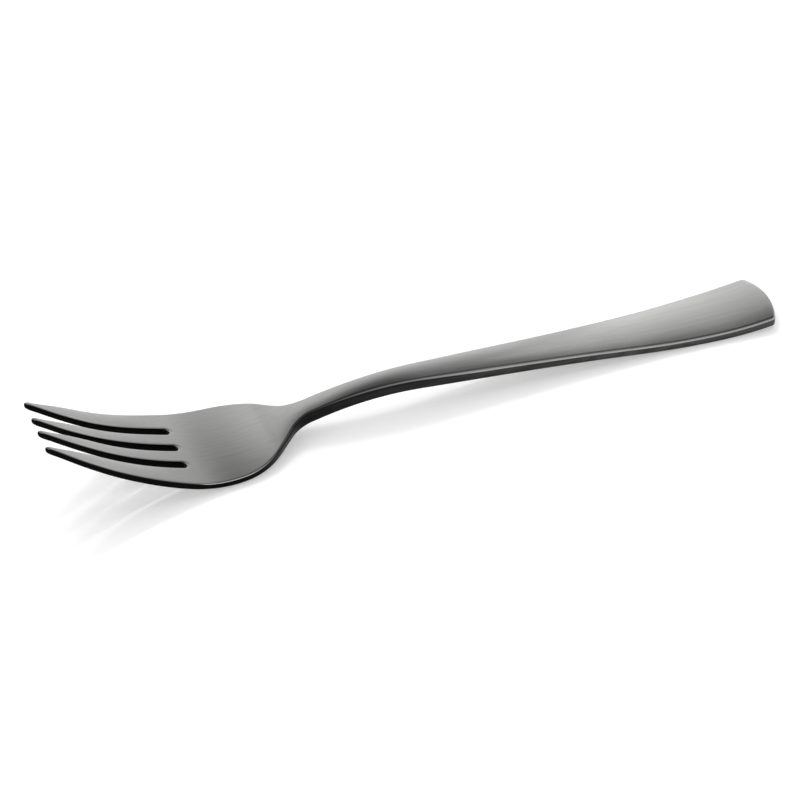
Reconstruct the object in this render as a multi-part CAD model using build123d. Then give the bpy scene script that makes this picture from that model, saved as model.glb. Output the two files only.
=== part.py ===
from build123d import *
import math
import os

# A dinner fork, in millimetres. It lies face up along X: tine tips at -X, handle at +X, back on Z = 0.
# It is one piece of steel: a flat blank is cut, pressed to its profile, and its rims are rounded.
# The piece is then written as its zones, which meet face to face.
# Names that end in _at are distances from the line of the tine tips.

# Plan of the blank
fork_length = 200.0
head_width = 28.9
head_widest_at = 41.1
palm_side_radius = 70.0
palm_side_turn = 5.7
shoulder_radius = 20.0
shoulder_angle = 42.0
neck_blend_radius = 9.5
neck_width = 5.9
shank_width = 8.3
shank_at = 110.0
grip_width = 12.3
grip_at = 148.0
handle_width = 18.5
handle_end_bow = 2.2
handle_corner_radius = 1.4

# Tines and slots, with centres measured from the fork's middle line
slot_depth = 35.2
slot_width = 2.55
tine_middle_at = 18.0
tine_throat_at = 6.0
tip_width = 1.1
inner_tine_width = 4.2
inner_middle_centre = 3.0
inner_middle_width = 3.6
inner_throat_centre = 2.58
inner_throat_width = 2.45
inner_tip_centre = 2.58
outer_middle_centre = 9.82
outer_middle_width = 4.9
outer_throat_centre = 9.12
outer_throat_width = 2.8
outer_tip_centre = 8.9

# Side profile of the back, which touches the table at the belly and at the heel
belly_at = 46.7
belly_front_radius = 38.0
belly_front_angle = 17.0
belly_back_radius = 49.0
tine_bend_radius = 85.0
tine_angle = 34.2
neck_angle = 11.35
arch_radius = 92.0
handle_angle = 4.67
heel_radius = 300.0
heel_from_end = 17.0
end_radius = 130.0

# Thickness of the metal on the middle line
tip_thickness = 1.75
root_thickness = 2.4
palm_thickness = 2.7
shoulder_thickness = 2.65
waist_thickness = 3.65
neck_thickness = 3.65
neck_at = 84.0
shank_thickness = 3.6
grip_thickness = 3.2
end_thickness = 3.35

# Rounding: the crown across the face of palm and handle, the back of the palm, and the rims
palm_crown_radius = 230.0
shoulder_crown_radius = 150.0
waist_crown_radius = 12.0
neck_crown_radius = 10.0
shank_crown_radius = 15.0
grip_crown_radius = 30.0
end_crown_radius = 62.0
palm_back_radius = 600.0
edge_radius = 0.35

# Where the zones meet: the palm takes in this much of the neck behind the shoulders
palm_tail = 2.5
neck_end_at = 100.0

# The pressed sheet is this much wider and longer than the blank that is cut from it
trim_margin = 3.0

tip_x = -fork_length / 2
end_x = fork_length / 2
forward = (-1, 0)
backward = (1, 0)


def place(distance, side=0.0):
    return (tip_x + distance, side)


def smooth(distance, stations):
    # Value at a distance from the tips, eased from each (distance, value) station to the next
    for (near, near_value), (far, far_value) in zip(stations, stations[1:]):
        if distance <= far:
            t = max(0.0, (distance - near) / (far - near))
            return near_value + (far_value - near_value) * t * t * (3 - 2 * t)
    return stations[-1][1]


# Half the plan: tines and slots, from the middle line outwards
slot_radius = slot_width / 2
tip_radius = tip_width / 2
root_at = slot_depth - slot_radius
inner_root = (slot_radius, slot_radius + inner_tine_width)
side_slot_centre = inner_root[1] + slot_radius
outer_root = (inner_root[1] + slot_width, head_width / 2)


def tine_sides(root, middle, middle_width, throat, throat_width, tip):
    # Points of a tine's two sides from slot to tip, the side nearer the middle line first
    return [
        [
            place(root_at, root_side),
            place(tine_middle_at, middle + way * middle_width / 2),
            place(tine_throat_at, throat + way * throat_width / 2),
            place(tip_radius, tip + way * tip_radius),
        ]
        for way, root_side in ((-1, root[0]), (1, root[1]))
    ]


inner_near, inner_far = tine_sides(
    inner_root, inner_middle_centre, inner_middle_width, inner_throat_centre, inner_throat_width, inner_tip_centre
)
outer_near, outer_far = tine_sides(
    outer_root, outer_middle_centre, outer_middle_width, outer_throat_centre, outer_throat_width, outer_tip_centre
)
head_widest = place(head_widest_at, head_width / 2)

# Half the plan: the straight run of the shoulder, and the corner between the handle's side and its bowed end
side_turn = math.radians(palm_side_turn)
shoulder_slope = math.radians(shoulder_angle)
arcs_drop = (
    palm_side_radius * (1 - math.cos(side_turn))
    + shoulder_radius * (math.cos(side_turn) - math.cos(shoulder_slope))
    + neck_blend_radius * (1 - math.cos(shoulder_slope))
)
shoulder_run = ((head_width - neck_width) / 2 - arcs_drop) / math.sin(shoulder_slope)

handle_half = handle_width / 2
bow_radius = (handle_half**2 + handle_end_bow**2) / (2 * handle_end_bow)
bow_x = end_x - bow_radius
corner_reach = bow_radius - handle_corner_radius
corner_half = handle_half - handle_corner_radius
corner_x = bow_x + math.sqrt(corner_reach**2 - corner_half**2)
corner_turn = math.degrees(math.asin(corner_half / corner_reach))

with BuildSketch() as plan:
    with BuildLine():
        CenterArc(place(root_at), slot_radius, 0, 90)
        Spline(inner_near, tangents=(forward, forward))
        CenterArc(place(tip_radius, inner_tip_centre), tip_radius, 270, -180)
        Spline(inner_far[::-1], tangents=(backward, backward))
        CenterArc(place(root_at, side_slot_centre), slot_radius, -90, 180)
        Spline(outer_near, tangents=(forward, forward))
        CenterArc(place(tip_radius, outer_tip_centre), tip_radius, 270, -180)
        Spline(outer_far[:0:-1] + [head_widest], tangents=(backward, backward))
        palm_side = JernArc(head_widest, backward, palm_side_radius, -palm_side_turn)
        shoulder = JernArc(palm_side @ 1, palm_side % 1, shoulder_radius, palm_side_turn - shoulder_angle)
        ramp = Line(shoulder @ 1, shoulder @ 1 + shoulder_run * (shoulder % 1))
        neck_blend = JernArc(ramp @ 1, ramp % 1, neck_blend_radius, shoulder_angle)
        handle_side = [place(shank_at, shank_width / 2), place(grip_at, grip_width / 2), (corner_x, handle_half)]
        Spline([neck_blend @ 1] + handle_side, tangents=(backward, backward))
        CenterArc((corner_x, corner_half), handle_corner_radius, 90, corner_turn - 90)
        CenterArc((bow_x, 0), bow_radius, corner_turn, -corner_turn)
        mirror(about=Plane.XZ)
    make_face()
shoulder_at = (palm_side @ 1).X - tip_x
shoulder_end_at = (shoulder @ 1).X - tip_x
waist_at = (neck_blend @ 1).X - tip_x
palm_end_at = waist_at + palm_tail

# Side profile: the straight runs of neck and handle are as long as it takes for the heel to touch the table
up = math.radians(neck_angle)
down = math.radians(handle_angle)
reach = (
    fork_length - heel_from_end - belly_at
    - belly_back_radius * math.sin(up)
    - arch_radius * (math.sin(up) + math.sin(down))
    - heel_radius * math.sin(down)
)
rise = (
    belly_back_radius * (1 - math.cos(up))
    + arch_radius * (math.cos(down) - math.cos(up))
    - heel_radius * (1 - math.cos(down))
)
neck_run = (reach * math.sin(down) - rise * math.cos(down)) / math.sin(up + down)
handle_run = (reach * math.sin(up) + rise * math.cos(up)) / math.sin(up + down)
end_turn = math.degrees(math.asin((heel_from_end + trim_margin) / end_radius))
belly = place(belly_at)

with BuildLine(Plane.XZ):
    belly_front = JernArc(belly, forward, belly_front_radius, -belly_front_angle)
    tine_bend = JernArc(belly_front @ 1, belly_front % 1, tine_bend_radius, belly_front_angle - tine_angle)
    tine_run = ((tine_bend @ 1).X - tip_x + trim_margin) / math.cos(math.radians(tine_angle))
    tine_line = Line(tine_bend @ 1, tine_bend @ 1 + tine_run * (tine_bend % 1))
with BuildLine(Plane.XZ):
    belly_back = JernArc(belly, backward, belly_back_radius, neck_angle)
    neck_line = Line(belly_back @ 1, belly_back @ 1 + neck_run * (belly_back % 1))
    arch = JernArc(neck_line @ 1, neck_line % 1, arch_radius, -neck_angle - handle_angle)
    handle_line = Line(arch @ 1, arch @ 1 + handle_run * (arch % 1))
    heel = JernArc(handle_line @ 1, handle_line % 1, heel_radius, handle_angle)
    end_rise = JernArc(heel @ 1, heel % 1, end_radius, end_turn)

# Pressed sheet: sections square to the line of the back, with their thickness and crown at each distance
thickness_along = [
    (0.0, tip_thickness), (root_at, root_thickness), (belly_at, palm_thickness), (shoulder_end_at, shoulder_thickness),
    (waist_at, waist_thickness), (neck_at, neck_thickness), (shank_at, shank_thickness), (grip_at, grip_thickness),
    (fork_length, end_thickness),
]
crown_along = [
    (tine_middle_at, 0.0), (shoulder_at, 1 / palm_crown_radius), (shoulder_end_at, 1 / shoulder_crown_radius),
    (waist_at, 1 / waist_crown_radius), (neck_at, 1 / neck_crown_radius), (shank_at, 1 / shank_crown_radius),
    (grip_at, 1 / grip_crown_radius), (fork_length, 1 / end_crown_radius),
]
back_along = [(0.0, 0.0), (root_at, 1 / palm_back_radius), (shoulder_at, 1 / palm_back_radius), (neck_at, 0.0)]
half_width_along = [
    (shoulder_at, head_width / 2), (waist_at, neck_width / 2),
    (shank_at, shank_width / 2), (grip_at, grip_width / 2), (fork_length, handle_half),
]


def section(point, direction):
    distance = point.X - tip_x
    half = smooth(distance, half_width_along) + trim_margin
    top = smooth(distance, thickness_along)
    top_rim = top - smooth(distance, crown_along) * half**2 / 2
    back_rim = smooth(distance, back_along) * half**2 / 2
    with BuildSketch(Plane(point, x_dir=(0, 1, 0), z_dir=direction)) as face:
        with BuildLine():
            Bezier((half, top_rim), (0, 2 * top - top_rim), (-half, top_rim))
            Line((-half, top_rim), (-half, back_rim))
            Bezier((-half, back_rim), (0, -back_rim), (half, back_rim))
            Line((half, back_rim), (half, top_rim))
        make_face()
    return face.sketch.face()


front_runs = (tine_line, tine_bend, belly_front)
back_runs = (belly_back, neck_line, arch, handle_line, heel, end_rise)
sections = [section(run @ t, -(run % t)) for run in front_runs for t in (1.0, 0.67, 0.33)]
sections += [section(run @ t, run % t) for run in back_runs for t in (0.0, 0.33, 0.67)]
sections.append(section(end_rise @ 1, end_rise % 1))
sheet = loft(sections)

# The fork is the sheet cut to the plan. Each zone of it has the rims of its face and of its back rounded.
fork = sheet & extrude(plan.sketch, amount=fork_length / 2, both=True)


def cut(body, distance):
    meeting = Plane.YZ.offset(tip_x + distance)
    return split(body, meeting, Keep.BOTTOM), split(body, meeting, Keep.TOP)


def rounded(zone):
    # Every edge of the face and of the back is a rim, apart from those in a plane where two zones meet
    sides = zone.faces().sort_by(SortBy.AREA)[-2:]
    edges = sides[0].outer_wire().edges() + sides[1].outer_wire().edges()
    return zone.fillet(edge_radius, [edge for edge in edges if edge.bounding_box().size.X > edge_radius / 100])


tines, body = cut(fork, root_at)
palm, body = cut(body, palm_end_at)
neck, handle = cut(body, neck_end_at)

zones = {"palm": palm.solid(), "neck": neck.solid(), "handle": handle.solid()}
tine_names = ("left_outer_tine", "left_inner_tine", "right_inner_tine", "right_outer_tine")
zones.update(zip(tine_names, tines.solids().sort_by(Axis.Y)))

os.makedirs("parts", exist_ok=True)
for name, zone in zones.items():
    export_step(rounded(zone), f"parts/{name}.step")
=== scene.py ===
import bpy
import math
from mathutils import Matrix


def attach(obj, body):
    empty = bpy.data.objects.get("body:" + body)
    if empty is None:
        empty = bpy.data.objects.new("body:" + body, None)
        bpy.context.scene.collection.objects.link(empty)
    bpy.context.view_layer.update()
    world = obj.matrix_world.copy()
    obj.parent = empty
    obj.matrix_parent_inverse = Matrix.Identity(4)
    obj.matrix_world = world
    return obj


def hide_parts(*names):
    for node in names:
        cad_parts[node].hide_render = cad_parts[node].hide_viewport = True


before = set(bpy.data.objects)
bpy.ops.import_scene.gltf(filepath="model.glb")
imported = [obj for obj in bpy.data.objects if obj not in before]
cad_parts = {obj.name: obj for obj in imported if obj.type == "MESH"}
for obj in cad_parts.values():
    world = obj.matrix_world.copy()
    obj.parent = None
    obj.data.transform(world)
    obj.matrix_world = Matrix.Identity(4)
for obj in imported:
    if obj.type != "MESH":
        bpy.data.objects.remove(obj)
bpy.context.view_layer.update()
bpy.ops.object.select_all(action="DESELECT")
print("frame loaded:", ", ".join(sorted(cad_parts)))

mm = 0.001  # every size of the fork is in millimetres, "at" is a distance from the line of the tine tips
weldGap = 0.002 * mm  # points closer than this are merged
smoothAngle = math.radians(35)  # sharper edges than this stay sharp

# Outline of the flat blank, half of it: "half" is a distance from the fork's middle line
blank = {
    "length": 200.0,
    "headHalf": 14.45, "headWidestAt": 41.1,
    "palmSideRadius": 70.0, "palmSideTurn": 5.7,
    "shoulderRadius": 20.0, "shoulderAngle": 42.0,
    "neckBlendRadius": 9.5, "neckHalf": 2.95,
    "shankAt": 110.0, "shankHalf": 4.15,
    "gripAt": 148.0, "gripHalf": 6.15,
    "endHalf": 9.25, "endBow": 2.2, "endCorner": 1.4,
    "palmTail": 2.5, "neckAt": 84.0, "neckEndAt": 100.0,
    "rims": [(50.0, 0.35), (70.0, 0.85), (84.0, 1.10), (100.0, 1.05), (130.0, 0.85), (200.0, 0.80)],
    "backRim": 0.35, "rimSteps": 9,
    "gauge": 1.3,  # half the thickness while the blank is still flat
    "palmRows": 44, "neckRows": 32, "handleRows": 96, "cornerColumns": 6,
}

# The four tines and the slots between them, right half: near and far are the two sides of a tine
tine = {
    "slotDepth": 35.2, "slotHalf": 1.275, "tipRadius": 0.55,
    "split": 6.3,  # a line in the slot between an inner and an outer tine
    "stations": (6.0, 18.0),
    "inner": {"near": (1.355, 1.2), "far": (3.805, 4.8), "root": (1.275, 5.475), "tip": 2.58},
    "outer": {"near": (7.72, 7.37), "far": (10.52, 12.27), "root": (8.025, None), "tip": 8.9},
    "tipRound": 1.4, "tipDrop": 0.7, "tipLift": 0.45, "tipPaintedShade": 0.55,
    "rows": 46, "columns": 10, "slotColumns": 12,
}

# Side profile of the back: it lies on the table at the belly and at the heel
profile = {
    "bellyAt": 46.7, "bellyFront": (38.0, 17.0), "tineBend": (85.0, 34.2),
    "bellyBack": (49.0, 11.35), "archRadius": 92.0, "handleAngle": 4.67,
    "heelRadius": 300.0, "heelFromEnd": 17.0, "endRadius": 130.0, "endTurn": 0.3, "tineRun": 60.0,
}

rootAt = tine["slotDepth"] - tine["slotHalf"]


def eased(stations, at):
    for (nearAt, nearValue), (farAt, farValue) in zip(stations, stations[1:]):
        if at <= farAt:
            t = max(0.0, (at - nearAt) / (farAt - nearAt))
            return nearValue + (farValue - nearValue) * t * t * (3 - 2 * t)
    return stations[-1][1]


def rimAt(at):
    return eased(blank["rims"], at)


headRim, endRim = rimAt(0.0), rimAt(blank["length"])


def fairCurve(points, rounds=60):
    # slopes of a fair curve through the points, level at both ends, found by relaxing
    slopes = [0.0] * len(points)
    for _ in range(rounds):
        for k in range(1, len(points) - 1):
            (a, ya), (b, yb), (c, yc) = points[k - 1:k + 2]
            before, after = b - a, c - b
            pull = 3 * ((yb - ya) / before**2 + (yc - yb) / after**2)
            slopes[k] = (pull - slopes[k - 1] / before - slopes[k + 1] / after) / (2 / before + 2 / after)
    return [(at, value, slope) for (at, value), slope in zip(points, slopes)]


def alongCurve(curve, at):
    for (a, ya, ma), (b, yb, mb) in zip(curve, curve[1:]):
        if at <= b:
            break
    span = b - a
    t = min(1.0, max(0.0, (at - a) / span))
    return ((2 * t**3 - 3 * t**2 + 1) * ya + (t**3 - 2 * t**2 + t) * span * ma
            + (3 * t**2 - 2 * t**3) * yb + (t**3 - t**2) * span * mb)


# Where the arcs of the shoulder begin and end
sideTurn, shoulderTurn = math.radians(blank["palmSideTurn"]), math.radians(blank["shoulderAngle"])
sideEnd = blank["headWidestAt"] + blank["palmSideRadius"] * math.sin(sideTurn)
sideEndHalf = blank["headHalf"] - blank["palmSideRadius"] * (1 - math.cos(sideTurn))
shoulderEnd = sideEnd + blank["shoulderRadius"] * (math.sin(shoulderTurn) - math.sin(sideTurn))
shoulderEndHalf = sideEndHalf - blank["shoulderRadius"] * (math.cos(sideTurn) - math.cos(shoulderTurn))
rampEndHalf = blank["neckHalf"] + blank["neckBlendRadius"] * (1 - math.cos(shoulderTurn))
rampEnd = shoulderEnd + (shoulderEndHalf - rampEndHalf) / math.tan(shoulderTurn)
waistAt = rampEnd + blank["neckBlendRadius"] * math.sin(shoulderTurn)
palmEndAt = waistAt + blank["palmTail"]

# The bowed end of the handle and its two corners
bowRadius = (blank["endHalf"]**2 + blank["endBow"]**2) / (2 * blank["endBow"])
bowAt = blank["length"] - bowRadius
cornerHalf = blank["endHalf"] - blank["endCorner"]
cornerReach = bowRadius - blank["endCorner"]
cornerAt = bowAt + math.sqrt(cornerReach**2 - cornerHalf**2)
cornerTurn = math.asin(cornerHalf / cornerReach)

handleSide = fairCurve([(waistAt, blank["neckHalf"]), (blank["shankAt"], blank["shankHalf"]),
                        (blank["gripAt"], blank["gripHalf"]), (cornerAt, blank["endHalf"])])


def tineSide(kind, side):
    sizes, way = tine[kind], -1 if side == "near" else 1
    root = sizes["root"][0 if side == "near" else 1]
    end = (rootAt, root) if root else (blank["headWidestAt"], blank["headHalf"])
    tip = (tine["tipRadius"], sizes["tip"] + way * tine["tipRadius"])
    return fairCurve([tip] + list(zip(tine["stations"], sizes[side])) + [end])


tineSides = {(kind, side): tineSide(kind, side) for kind in ("inner", "outer") for side in ("near", "far")}


def outlineHalf(at):
    if at < blank["headWidestAt"]:
        return alongCurve(tineSides["outer", "far"], at)
    if at < sideEnd:
        swing = math.asin((at - blank["headWidestAt"]) / blank["palmSideRadius"])
        return blank["headHalf"] - blank["palmSideRadius"] * (1 - math.cos(swing))
    if at < shoulderEnd:
        swing = math.asin((at - sideEnd) / blank["shoulderRadius"] + math.sin(sideTurn))
        return sideEndHalf - blank["shoulderRadius"] * (math.cos(sideTurn) - math.cos(swing))
    if at < rampEnd:
        return shoulderEndHalf - (at - shoulderEnd) * math.tan(shoulderTurn)
    if at < waistAt:
        swing = math.asin((waistAt - at) / blank["neckBlendRadius"])
        return blank["neckHalf"] + blank["neckBlendRadius"] * (1 - math.cos(swing))
    return alongCurve(handleSide, at)


def rimAcross(line, at, probe=0.01):
    # width of the rim straight across the fork, where the line that it follows may slope
    slope = (line(at + probe) - line(at - probe)) / (2 * probe)
    return rimAt(at) * math.sqrt(1 + slope * slope)


def faceHalf(at):
    return outlineHalf(at) - rimAcross(outlineHalf, at)


def tineFace(kind, side, at):
    curve, way = tineSides[kind, side], 1 if side == "near" else -1
    return alongCurve(curve, at) + way * rimAcross(lambda a: alongCurve(curve, a), at)


# Front row of the palm, left to right: a straight run behind each tine, an arc round the end of each slot
def frontRow():
    columns, slotColumns = tine["columns"], tine["slotColumns"]
    slotRadius = tine["slotHalf"] + headRim
    slotCentre = tine["inner"]["root"][1] + tine["slotHalf"]
    outer = (slotCentre + slotRadius, faceHalf(rootAt))
    inner = (slotRadius, slotCentre - slotRadius)
    row = [(rootAt, -outer[1])]
    for start, end, centre in ((-outer[1], -outer[0], -slotCentre), (-inner[1], -inner[0], 0.0),
                               (inner[0], inner[1], slotCentre), (outer[0], outer[1], None)):
        row += [(rootAt, start + (end - start) * k / columns) for k in range(1, columns + 1)]
        if centre is not None:
            turns = [math.pi * k / slotColumns for k in range(1, slotColumns + 1)]
            row += [(rootAt + slotRadius * math.sin(t), centre - slotRadius * math.cos(t)) for t in turns]
    return row


# Last row of the handle, left to right: a corner, the bow, the other corner
def endRow(columns):
    corner, radius = blank["cornerColumns"], blank["endCorner"] - endRim
    row = []
    for k in range(columns + 1):
        edge = min(k, columns - k)
        way = -1 if k < columns / 2 else 1
        if edge <= corner:
            t = math.pi / 2 - (math.pi / 2 - cornerTurn) * edge / corner
            row.append((cornerAt + radius * math.cos(t), way * (cornerHalf + radius * math.sin(t))))
        else:
            t = cornerTurn * (2 * (k - corner) / (columns - 2 * corner) - 1)
            row.append((bowAt + (bowRadius - endRim) * math.cos(t), (bowRadius - endRim) * math.sin(t)))
    return row


def addPatch(name, rows, columns, place):
    # a grid of rows along the fork and columns across it, laid out flat by place(row, column)
    bpy.ops.mesh.primitive_grid_add(x_subdivisions=rows, y_subdivisions=columns, size=1.0, location=(0, 0, 0))
    patch = bpy.context.object
    patch.name = name
    for v in patch.data.vertices:
        row = round((v.co.x + 0.5) * rows)
        column = round((v.co.y + 0.5) * columns)
        at, side = place(row, column)
        v.co = ((at - blank["length"] / 2) * mm, side * mm, blank["gauge"] * mm)
    return patch


palmFront = frontRow()
bodyColumns = len(palmFront) - 1
handleBack = endRow(bodyColumns)
shares = [side / faceHalf(at) for at, side in palmFront]
endShares = [side / (blank["endHalf"] - endRim) for _, side in handleBack]


def bodyPlace(row, column):
    palmRows, neckRows, handleRows = blank["palmRows"], blank["neckRows"], blank["handleRows"]
    share = shares[column]
    if row <= palmRows:
        start = palmFront[column][0]
        at = start + (palmEndAt - start) * row / palmRows
    elif row <= palmRows + neckRows:
        at = palmEndAt + (blank["neckEndAt"] - palmEndAt) * (row - palmRows) / neckRows
    else:
        t = (row - palmRows - neckRows) / handleRows
        at = blank["neckEndAt"] + (handleBack[column][0] - blank["neckEndAt"]) * t
        share += (endShares[column] - share) * t * t
    return at, share * faceHalf(min(at, cornerAt))


def tinePlace(kind, way):
    def place(row, column):
        share = column / tine["columns"] if way > 0 else 1 - column / tine["columns"]
        if row == 0:
            radius = tine["tipRadius"] - headRim
            return (tine["tipRadius"] - radius * math.sin(math.pi * share),
                    way * (tine[kind]["tip"] - radius * math.cos(math.pi * share)))
        first = 2 * tine["tipRadius"]
        at = first + (rootAt - first) * (row - 1) / (tine["rows"] - 1)
        near, far = tineFace(kind, "near", at), tineFace(kind, "far", at)
        return at, way * (near + (far - near) * share)
    return place


bodyRows = blank["palmRows"] + blank["neckRows"] + blank["handleRows"]
patches = [addPatch("bodyPatch", bodyRows, bodyColumns, bodyPlace)]
for kind in ("outer", "inner"):
    for way in (-1, 1):
        patches.append(addPatch(kind + "Patch", tine["rows"], tine["columns"], tinePlace(kind, way)))
bpy.ops.object.select_all(action="DESELECT")
for patch in patches:
    patch.select_set(True)
fork = patches[0]
bpy.context.view_layer.objects.active = fork
bpy.ops.object.join()
fork.name = "fork"
bpy.ops.object.mode_set(mode="EDIT")
bpy.ops.mesh.select_all(action="SELECT")
bpy.ops.mesh.remove_doubles(threshold=weldGap)
bpy.ops.object.mode_set(mode="OBJECT")
print("flat face:", len(fork.data.polygons), "faces")

# The back is a copy of the face, turned over
bpy.ops.object.duplicate()
back = bpy.context.object
bpy.ops.object.mode_set(mode="EDIT")
bpy.ops.mesh.select_all(action="SELECT")
bpy.ops.transform.translate(value=(0, 0, -2 * blank["gauge"] * mm))
bpy.ops.mesh.flip_normals()
bpy.ops.object.mode_set(mode="OBJECT")


def select(*objects):
    bpy.ops.object.select_all(action="DESELECT")
    for o in objects:
        o.select_set(True)
    bpy.context.view_layer.objects.active = objects[0]


def openEdge():
    # select the open edge of the sheet that is being edited
    bpy.ops.mesh.select_mode(type="EDGE")
    bpy.ops.mesh.select_all(action="DESELECT")
    bpy.ops.mesh.select_non_manifold(use_wire=False, use_boundary=True, use_multi_face=False,
                                     use_non_contiguous=False, use_verts=False)


def loopOrder(mesh):
    # selected edges as one closed loop of vertices, anticlockwise seen from above
    beside = {}
    for e in mesh.edges:
        if e.select:
            a, b = e.vertices
            beside.setdefault(a, []).append(b)
            beside.setdefault(b, []).append(a)
    first = next(iter(beside))
    loop, last, here = [first], None, first
    while True:
        ahead = [n for n in beside[here] if n != last]
        last, here = here, ahead[0]
        if here == first:
            break
        loop.append(here)
    spots = [mesh.vertices[i].co for i in loop]
    area = sum(p.x * q.y - q.x * p.y for p, q in zip(spots, spots[1:] + spots[:1]))
    return loop if area > 0 else loop[::-1]


def spot(co):
    return (round(co.x, 8), round(co.y, 8))


# Rims and side wall: the open edge is drawn out in steps, round, down and back under
select(fork)
bpy.ops.object.mode_set(mode="EDIT")
openEdge()
bpy.ops.object.mode_set(mode="OBJECT")
loop = loopOrder(fork.data)
edgeLine = [fork.data.vertices[i].co.copy() for i in loop]
outward = []
for k in range(len(edgeLine)):
    run = edgeLine[(k + 1) % len(edgeLine)] - edgeLine[k - 1]
    outward.append((run.y / run.length, -run.x / run.length))
turns = [math.pi / 2 * k / blank["rimSteps"] for k in range(1, blank["rimSteps"] + 1)]
steps = [(math.sin(t), math.cos(t), True) for t in turns]
steps += [(out, up, False) for out, up, _ in steps[::-1]] + [(0.0, 1.0, False)]
rims = [rimAt(co.x / mm + blank["length"] / 2) for co in edgeLine]
ringAt = {spot(co): k for k, co in enumerate(edgeLine)}
rimPlaces = dict(ringAt)
for out, up, top in steps:
    bpy.ops.object.mode_set(mode="EDIT")
    openEdge()
    bpy.ops.mesh.extrude_edges_move()
    bpy.ops.object.mode_set(mode="OBJECT")
    ring = {}
    for v in fork.data.vertices:
        if v.select:
            k = ringAt[spot(v.co)]
            if top:
                reach = out * rims[k]
                height = blank["gauge"] - (1 - up) * rims[k]
            else:
                reach = rims[k] - (1 - out) * blank["backRim"] if out else 0.0
                height = (1 - up) * blank["backRim"] - blank["gauge"]
            alongOut, acrossOut = outward[k]
            v.co = (edgeLine[k].x + alongOut * reach * mm,
                    edgeLine[k].y + acrossOut * reach * mm, height * mm)
            ring[spot(v.co)] = k
    ringAt = ring
    rimPlaces.update(ring)
select(fork, back)
bpy.ops.object.join()
bpy.ops.object.mode_set(mode="EDIT")
bpy.ops.mesh.select_all(action="SELECT")
bpy.ops.mesh.remove_doubles(threshold=weldGap)
bpy.ops.mesh.normals_make_consistent(inside=False)
bpy.ops.object.mode_set(mode="OBJECT")
print("blank with rims:", len(fork.data.polygons), "faces")

# Line of the back as runs of arc and straight, from the belly towards the tips and towards the handle
bellyAt, length = profile["bellyAt"], blank["length"]
upTurn, downTurn = math.radians(profile["bellyBack"][1]), math.radians(profile["handleAngle"])
backRadius, archRadius, heelRadius = profile["bellyBack"][0], profile["archRadius"], profile["heelRadius"]
straightSpan = (length - profile["heelFromEnd"] - bellyAt - backRadius * math.sin(upTurn)
                - archRadius * (math.sin(upTurn) + math.sin(downTurn)) - heelRadius * math.sin(downTurn))
straightRise = (backRadius * (1 - math.cos(upTurn)) + archRadius * (math.cos(downTurn) - math.cos(upTurn))
                - heelRadius * (1 - math.cos(downTurn)))
turnSine = math.sin(upTurn + downTurn)
neckRun = (straightSpan * math.sin(downTurn) - straightRise * math.cos(downTurn)) / turnSine
handleRun = (straightSpan * math.sin(upTurn) + straightRise * math.cos(upTurn)) / turnSine


def layRuns(runs):
    # each run is (radius or None, turn at its end or its length), laid one after the other from the belly
    laid, at, height, turn = [], 0.0, 0.0, 0.0
    for radius, value in runs:
        if radius is None:
            span, lift, end = value * math.cos(turn), value * math.sin(turn), turn
        else:
            end = value
            bend = radius if end > turn else -radius
            span, lift = bend * (math.sin(end) - math.sin(turn)), bend * (math.cos(turn) - math.cos(end))
        laid.append((at, at + span, height, turn, end, radius))
        at, height, turn = at + span, height + lift, end
    return laid


frontRuns = layRuns([(profile["bellyFront"][0], math.radians(profile["bellyFront"][1])),
                     (profile["tineBend"][0], math.radians(profile["tineBend"][1])),
                     (None, profile["tineRun"])])
backRuns = layRuns([(backRadius, upTurn), (None, neckRun), (archRadius, -downTurn), (None, handleRun),
                    (heelRadius, 0.0), (profile["endRadius"], profile["endTurn"])])


def backLine(at):
    # height and slope of the back under a point on the middle line
    runs, far, way = (frontRuns, bellyAt - at, -1) if at < bellyAt else (backRuns, at - bellyAt, 1)
    start, _, height, turn, endTurn, radius = next((run for run in runs if far <= run[1]), runs[-1])
    if radius is None:
        return height + (far - start) * math.tan(turn), way * turn
    bend = radius if endTurn > turn else -radius
    here = math.asin(math.sin(turn) + (far - start) / bend)
    return height + bend * (math.cos(turn) - math.cos(here)), way * here


# Thickness on the middle line, crown across the face, and the slight round of the back of the head
gauges = {
    "thickness": [(0.0, 1.75), (rootAt, 2.4), (bellyAt, 2.7), (shoulderEnd, 2.65), (waistAt, 3.65),
                  (blank["neckAt"], 3.65), (blank["shankAt"], 3.6), (blank["gripAt"], 3.2), (length, 3.35)],
    "crown": [(tine["stations"][1], 0.0), (sideEnd, 1 / 195.0), (shoulderEnd, 1 / 150.0), (waistAt, 1 / 12.0),
              (blank["neckAt"], 1 / 10.0), (blank["shankAt"], 1 / 15.0), (blank["gripAt"], 1 / 30.0),
              (length, 1 / 62.0)],
    "tineCrown": [(rootAt - 14.0, 1 / 26.0), (rootAt - 1.0, 0.0)],
    "back": [(0.0, 0.0), (rootAt, 1 / 600.0), (sideEnd, 1 / 600.0), (blank["neckAt"], 0.0)],
}


def offTine(at, side):
    # distance from the middle of the tine that a point is on
    kind = "inner" if abs(side) < tine["split"] else "outer"
    near, far = (alongCurve(tineSides[kind, edge], at) for edge in ("near", "far"))
    return abs(side) - (near + far) / 2


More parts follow.
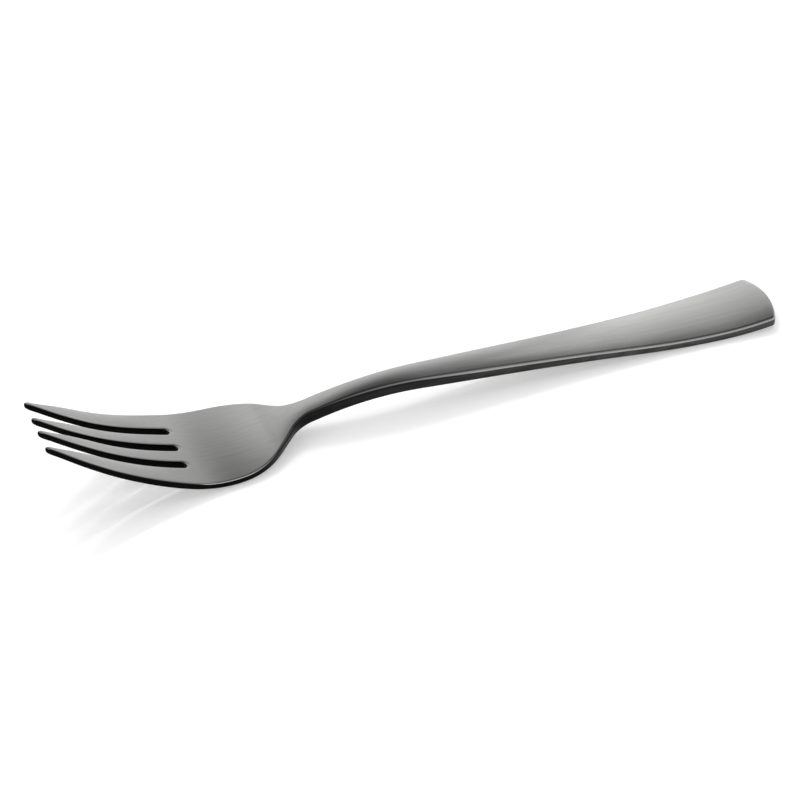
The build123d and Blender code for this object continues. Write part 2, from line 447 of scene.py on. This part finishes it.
def pressed(at, side, top, rounds=5):
    # height of the pressed face or back over a point of the flat blank
    foot = at
    round2 = offTine(at, side)**2 if top and at < rootAt else 0.0
    for _ in range(rounds):
        height, slope = backLine(foot)
        if top:
            lift = eased(gauges["thickness"], foot) - eased(gauges["crown"], foot) * side * side / 2
            lift -= eased(gauges["tineCrown"], at) * round2 / 2
            lift -= tine["tipDrop"] * max(0.0, 1 - at / tine["tipRound"])**2
        else:
            lift = eased(gauges["back"], foot) * side * side / 2
            lift += tine["tipLift"] * max(0.0, 1 - at / tine["tipRound"])**2
        foot = at + lift * math.sin(slope)
    return height + lift * math.cos(slope)


# Height of a rim: a round that touches the wall and the sloping face
def rimHeight(k, reach, top, probe=0.05):
    # reach is how far out from the edge of the face the point is
    at, side = edgeLine[k].x / mm + length / 2, edgeLine[k].y / mm
    rim = rims[k] if top else blank["backRim"]
    start = rims[k] - rim
    alongOut, acrossOut = outward[k]

    def surface(out):
        return pressed(at + alongOut * out, side + acrossOut * out, top)

    way = 1 if top else -1
    slope = math.atan(way * (surface(start + probe) - surface(start - probe)) / (2 * probe))
    touch = -rim * math.sin(slope)  # where the round leaves the face
    if reach - start <= touch:
        return surface(reach)
    bulge = math.sqrt(max(0.0, rim**2 - (reach - start)**2)) - rim * math.cos(slope)
    return surface(start + touch) + way * bulge


# Press the blank: the walls and the ends of the tips get the painted-shade material first, while the walls
# still stand square
for face in fork.data.polygons:
    at = face.center.x / mm + length / 2
    wallTop = blank["gauge"] - (rimAt(at) if face.center.z > 0 else blank["backRim"])
    # the walls and the tine ends take material 1, painted shade in place of the dark reflection they show
    face.material_index = 1 if abs(face.center.z) < wallTop * mm or at < tine["tipPaintedShade"] else 0
for v in fork.data.vertices:
    top, k = v.co.z > 0, rimPlaces.get(spot(v.co))
    if k is None:
        v.co.z = pressed(v.co.x / mm + length / 2, v.co.y / mm, top) * mm
    else:
        v.co.z = rimHeight(k, (v.co.xy - edgeLine[k].xy).length / mm, top) * mm
print("pressed, height", round(max(v.co.z for v in fork.data.vertices) / mm, 2), "mm")

# Part the pressed blank into its zones, one piece for each node of the frame
zones = {
    "handleSteel": ("handle", lambda at, side: at > blank["neckEndAt"]),
    "neckSteel": ("neck", lambda at, side: at > palmEndAt),
    "palmSteel": ("palm", lambda at, side: at > rootAt),
    "leftOuterTineSteel": ("left_outer_tine", lambda at, side: side < -tine["split"]),
    "rightOuterTineSteel": ("right_outer_tine", lambda at, side: side > tine["split"]),
    "leftInnerTineSteel": ("left_inner_tine", lambda at, side: side < 0),
    "rightInnerTineSteel": ("right_inner_tine", lambda at, side: True),
}


def cutZone(name, belongs):
    select(fork)
    bpy.ops.object.mode_set(mode="EDIT")
    bpy.ops.mesh.select_mode(type="FACE")
    bpy.ops.mesh.select_all(action="DESELECT")
    bpy.ops.object.mode_set(mode="OBJECT")
    for face in fork.data.polygons:
        face.select = belongs(face.center.x / mm + length / 2, face.center.y / mm)
    bpy.ops.object.mode_set(mode="EDIT")
    bpy.ops.mesh.separate(type="SELECTED")
    bpy.ops.object.mode_set(mode="OBJECT")
    piece = next(o for o in bpy.context.selected_objects if o != fork)
    piece.name = piece.data.name = name
    return piece


pieces = {}
for name, (node, belongs) in zones.items():
    last = name == "rightInnerTineSteel"
    pieces[name] = fork if last else cutZone(name, belongs)
    pieces[name].name = name
for name, piece in pieces.items():
    select(piece)
    bpy.ops.object.mode_set(mode="EDIT")
    openEdge()
    bpy.ops.mesh.fill_holes(sides=0)
    bpy.ops.mesh.select_all(action="SELECT")
    bpy.ops.mesh.normals_make_consistent(inside=False)
    bpy.ops.object.mode_set(mode="OBJECT")
    bpy.ops.object.shade_smooth_by_angle(angle=smoothAngle)
    # how level the surface is: 1 on a level face, 0 on an upright wall
    flatness = piece.data.attributes.new("flatness", "FLOAT", "CORNER")
    for corner, normal in zip(flatness.data, piece.data.corner_normals):
        corner.value = abs(normal.vector.z)
    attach(piece, "root")
    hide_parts(zones[name][0])
print("zones:", ", ".join(f"{n} {len(p.data.polygons)}" for n, p in pieces.items()))


def newMaterial(name):
    material = bpy.data.materials.new(name)
    material.use_nodes = True
    nodes, links = material.node_tree.nodes, material.node_tree.links
    return material, nodes, links, nodes["Principled BSDF"]


def addStreaks(nodes, links, coords, scale, detail):
    # noise drawn out along the fork
    stretch = nodes.new("ShaderNodeMapping")
    stretch.inputs["Scale"].default_value = scale
    links.new(coords.outputs["Object"], stretch.inputs["Vector"])
    streaks = nodes.new("ShaderNodeTexNoise")
    streaks.inputs["Scale"].default_value = 1.0
    streaks.inputs["Detail"].default_value = detail
    links.new(stretch.outputs["Vector"], streaks.inputs["Vector"])
    return streaks


def addAlong(nodes, links, coords, start, end):
    # share of the way along the fork between two places
    place = nodes.new("ShaderNodeSeparateXYZ")
    links.new(coords.outputs["Object"], place.inputs["Vector"])
    along = nodes.new("ShaderNodeMapRange")
    along.inputs["From Min"].default_value, along.inputs["From Max"].default_value = start, end
    links.new(place.outputs["X"], along.inputs["Value"])
    return along


def addGreys(nodes, levels):
    # a ramp of greys, each a position and a level
    ramp = nodes.new("ShaderNodeValToRGB")
    stops = ramp.color_ramp.elements
    while len(stops) < len(levels):
        stops.new(0.5)
    for stop, (position, level) in zip(stops, levels):
        stop.position = position
        stop.color = (level, level, level, 1)
    return ramp


# Satin face: dark stainless steel, brushed along the fork, with painted shade on the outer part of its rims
satin = {
    "colour": (0.428, 0.432, 0.424), "vary": 0.045, "roughness": (0.21, 0.26),
    "streak": (18.0, 1300.0, 1300.0), "streakDetail": 5.0, "streakRoughness": 0.65,
    "cloud": 40.0, "cloudDetail": 3.0, "noiseSpan": (0.3, 0.7),
    "scratch": 0.000008, "scratchStrength": 0.2,
    # painted shade: the near black that the outer part of a rim takes in place of its reflection
    "rimPaintedShade": (0.012, 0.012, 0.012), "rimSoft": 0.2,
    # how level a rim still is where its painted shade begins, by share of the fork's length; this places the
    # bright line along the rim
    "rimShadeLimit": [(0.178, 0.6), (0.19, 0.05), (0.25, 0.1), (0.29, 0.85),
                (0.34, 0.8), (0.40, 0.65), (0.49, 0.55), (0.58, 0.2)],
}


def makeSatin():
    material, nodes, links, shader = newMaterial("brushedSteel")
    coords = nodes.new("ShaderNodeTexCoord")
    streaks = addStreaks(nodes, links, coords, satin["streak"], satin["streakDetail"])
    streaks.inputs["Roughness"].default_value = satin["streakRoughness"]
    tint = nodes.new("ShaderNodeValToRGB")
    low, high = tint.color_ramp.elements
    low.position, high.position = satin["noiseSpan"]
    low.color = [c * (1 - satin["vary"]) for c in satin["colour"]] + [1]
    high.color = [c * (1 + satin["vary"]) for c in satin["colour"]] + [1]
    links.new(streaks.outputs["Fac"], tint.inputs["Fac"])
    # painted shade: where a rim is less level than the limit for its place along the fork, its colour turns
    # near black
    along = addAlong(nodes, links, coords, -length / 2 * mm, length / 2 * mm)
    limit = addGreys(nodes, satin["rimShadeLimit"])
    links.new(along.outputs["Result"], limit.inputs["Fac"])
    flat = nodes.new("ShaderNodeAttribute")
    flat.attribute_name = "flatness"
    past = nodes.new("ShaderNodeMath")
    past.operation = "SUBTRACT"
    links.new(flat.outputs["Fac"], past.inputs[0])
    links.new(limit.outputs["Color"], past.inputs[1])
    fade = nodes.new("ShaderNodeMapRange")
    fade.interpolation_type = "SMOOTHSTEP"
    fade.inputs["From Min"].default_value = -satin["rimSoft"]
    fade.inputs["From Max"].default_value = satin["rimSoft"]
    links.new(past.outputs["Value"], fade.inputs["Value"])
    rimShadeMix = nodes.new("ShaderNodeMix")
    rimShadeMix.data_type = "RGBA"
    rimShadeMix.inputs["A"].default_value = (*satin["rimPaintedShade"], 1)
    links.new(fade.outputs["Result"], rimShadeMix.inputs["Factor"])
    links.new(tint.outputs["Color"], rimShadeMix.inputs["B"])
    links.new(rimShadeMix.outputs["Result"], shader.inputs["Base Color"])
    clouds = nodes.new("ShaderNodeTexNoise")
    clouds.inputs["Scale"].default_value = satin["cloud"]
    clouds.inputs["Detail"].default_value = satin["cloudDetail"]
    links.new(coords.outputs["Object"], clouds.inputs["Vector"])
    gloss = nodes.new("ShaderNodeMapRange")
    gloss.inputs["From Min"].default_value, gloss.inputs["From Max"].default_value = satin["noiseSpan"]
    gloss.inputs["To Min"].default_value, gloss.inputs["To Max"].default_value = satin["roughness"]
    links.new(clouds.outputs["Fac"], gloss.inputs["Value"])
    links.new(gloss.outputs["Result"], shader.inputs["Roughness"])
    bump = nodes.new("ShaderNodeBump")
    bump.inputs["Strength"].default_value = satin["scratchStrength"]
    bump.inputs["Distance"].default_value = satin["scratch"]
    links.new(streaks.outputs["Fac"], bump.inputs["Height"])
    links.new(bump.outputs["Normal"], shader.inputs["Normal"])
    shader.inputs["Metallic"].default_value = 1.0
    return material


# Painted shade on the walls and tine tips: the dark reflection that the stamped edges show is painted into
# their colour as near-black steel
paintedWallShade = {
    "dark": (0.003, 0.003, 0.003), "light": (0.07, 0.07, 0.068), "from": -0.045, "to": 0.09,
    "streak": (160.0, 700.0, 700.0), "streakDetail": 4.0, "lightAt": 0.5, "roughness": 0.3,
}


def makePaintedWallShade():
    material, nodes, links, shader = newMaterial("paintedShadeEdgeSteel")
    coords = nodes.new("ShaderNodeTexCoord")
    streaks = addStreaks(nodes, links, coords, paintedWallShade["streak"], paintedWallShade["streakDetail"])
    # painted shade: black at the head, dark grey along the handle
    along = addAlong(nodes, links, coords, paintedWallShade["from"], paintedWallShade["to"])
    shade = nodes.new("ShaderNodeMath")
    shade.operation = "MULTIPLY"
    links.new(along.outputs["Result"], shade.inputs[0])
    links.new(streaks.outputs["Fac"], shade.inputs[1])
    tint = nodes.new("ShaderNodeValToRGB")
    low, high = tint.color_ramp.elements
    low.position, high.position = 0.0, paintedWallShade["lightAt"]
    low.color, high.color = (*paintedWallShade["dark"], 1), (*paintedWallShade["light"], 1)
    links.new(shade.outputs["Value"], tint.inputs["Fac"])
    links.new(tint.outputs["Color"], shader.inputs["Base Color"])
    shader.inputs["Metallic"].default_value = 1.0
    shader.inputs["Roughness"].default_value = paintedWallShade["roughness"]
    return material


satinSteel, paintedShadeSteel = makeSatin(), makePaintedWallShade()
for piece in pieces.values():
    piece.data.materials.append(satinSteel)
    piece.data.materials.append(paintedShadeSteel)
print("materials:", satinSteel.name, paintedShadeSteel.name)

# Pale floor
floorLook = {"size": 6.0, "colour": (0.86, 0.86, 0.86), "glow": 0.25}
bpy.ops.mesh.primitive_plane_add(size=floorLook["size"], location=(0, 0, 0))
floor = bpy.context.object
floor.name = "floor"
material, nodes, links, shader = newMaterial("paleFloor")
shader.inputs["Base Color"].default_value = (*floorLook["colour"], 1)
shader.inputs["Roughness"].default_value = 1.0
shader.inputs["Specular IOR Level"].default_value = 0.0
rays = nodes.new("ShaderNodeLightPath")
seen = nodes.new("ShaderNodeMath")
seen.operation = "MAXIMUM"
links.new(rays.outputs["Is Camera Ray"], seen.inputs[0])
links.new(rays.outputs["Is Glossy Ray"], seen.inputs[1])
glow = nodes.new("ShaderNodeMath")
glow.operation = "MULTIPLY"
glow.inputs[1].default_value = floorLook["glow"]
links.new(seen.outputs["Value"], glow.inputs[0])
shader.inputs["Emission Color"].default_value = (1, 1, 1, 1)
links.new(glow.outputs["Value"], shader.inputs["Emission Strength"])
floor.data.materials.append(material)

# Studio light: a bright low surround that darkens upwards, in columns from left to right, each with its level
# by height. The ceiling, soft and beam lamps light the floor, and the panel brightens the handle.
middle = [(0.0, 1.35), (0.20, 1.15), (0.34, 0.98), (0.47, 0.77),
          (0.60, 0.55), (0.70, 0.35), (0.80, 0.16), (1.0, 0.02)]
studio = {
    "right": (0.923, -0.384, 0.0),
    "columns": [
        (-0.30, [(0.0, 1.3), (0.34, 1.05), (0.60, 1.05), (0.72, 0.93), (0.87, 0.42), (1.0, 0.1)]),
        (0.0, middle), (0.16, middle),
        (0.31, [(0.0, 0.75), (0.20, 0.86), (0.34, 0.7), (0.50, 0.58),
                (0.62, 0.58), (0.72, 0.42), (0.85, 0.15), (1.0, 0.02)]),
    ],
}
lamps = {
    "ceiling": {"at": (0.25, 1.0, 1.1), "aim": (0.25, 1.0, 0.0), "size": (3.0, 2.2),
                "power": 18.0, "shines": False},
    "soft": {"at": (0.40, 1.50, 1.15), "aim": (0.0, 0.0, 0.0), "size": (4.0, 1.3),
             "power": 6.0, "shines": False},
    "beam": {"at": (0.294, 1.506, 1.644), "aim": (0.8, 0.0, 0.0), "size": (1.6, 0.12),
             "power": 10.0, "shines": False},
    "panel": {"at": (0.157, 0.12, 0.09), "aim": (0.09, 0.0, 0.008), "size": (0.08, 0.13),
              "power": 0.0145, "shines": True},
}
world = bpy.data.worlds.new("studio")
bpy.context.scene.world = world
world.use_nodes = True
nodes, links = world.node_tree.nodes, world.node_tree.links
sky = nodes["Background"]
coords = nodes.new("ShaderNodeTexCoord")
split = nodes.new("ShaderNodeSeparateXYZ")
links.new(coords.outputs["Generated"], split.inputs["Vector"])
across = nodes.new("ShaderNodeVectorMath")
across.operation = "DOT_PRODUCT"
across.inputs[1].default_value = studio["right"]
links.new(coords.outputs["Generated"], across.inputs[0])
blend, before = None, None
for side, levels in studio["columns"]:
    ramp = addGreys(nodes, levels)
    links.new(split.outputs["Z"], ramp.inputs["Fac"])
    if blend is None:
        blend = ramp.outputs["Color"]
    else:
        share = nodes.new("ShaderNodeMapRange")
        share.inputs["From Min"].default_value, share.inputs["From Max"].default_value = before, side
        links.new(across.outputs["Value"], share.inputs["Value"])
        mix = nodes.new("ShaderNodeMix")
        mix.data_type = "RGBA"
        links.new(share.outputs["Result"], mix.inputs["Factor"])
        links.new(blend, mix.inputs["A"])
        links.new(ramp.outputs["Color"], mix.inputs["B"])
        blend = mix.outputs["Result"]
    before = side
links.new(blend, sky.inputs["Color"])
sky.inputs["Strength"].default_value = 1.0


def addLamp(name, lamp):
    bpy.ops.object.light_add(type="AREA", location=lamp["at"])
    light = bpy.context.object
    light.name = name
    light.data.shape = "RECTANGLE"
    light.data.size, light.data.size_y = lamp["size"]
    light.data.energy = lamp["power"]
    aim = [a - b for a, b in zip(lamp["aim"], lamp["at"])]
    light.rotation_euler = (math.atan2(math.hypot(aim[0], aim[1]), -aim[2]), 0, math.atan2(-aim[0], aim[1]))
    light.visible_camera = False
    light.visible_glossy = lamp["shines"]  # the steel shows the surround and the panel


for name, lamp in lamps.items():
    addLamp(name, lamp)

# Camera at the photograph's angle
view = {"at": (-0.20904, -0.48923, 0.44075), "down": 39.70, "round": 22.61, "roll": 0.15, "lens": 121.74}
bpy.ops.object.camera_add(location=view["at"],
                          rotation=(math.radians(90 - view["down"]), 0, math.radians(-view["round"])))
camera = bpy.context.object
camera.rotation_euler.rotate_axis("Z", math.radians(view["roll"]))
camera.data.lens = view["lens"]
camera.data.sensor_width = 36.0
camera.data.clip_start, camera.data.clip_end = 0.01, 50.0
bpy.context.scene.camera = camera
bpy.context.scene.view_settings.view_transform = "Standard"
print("floor, light and camera set")
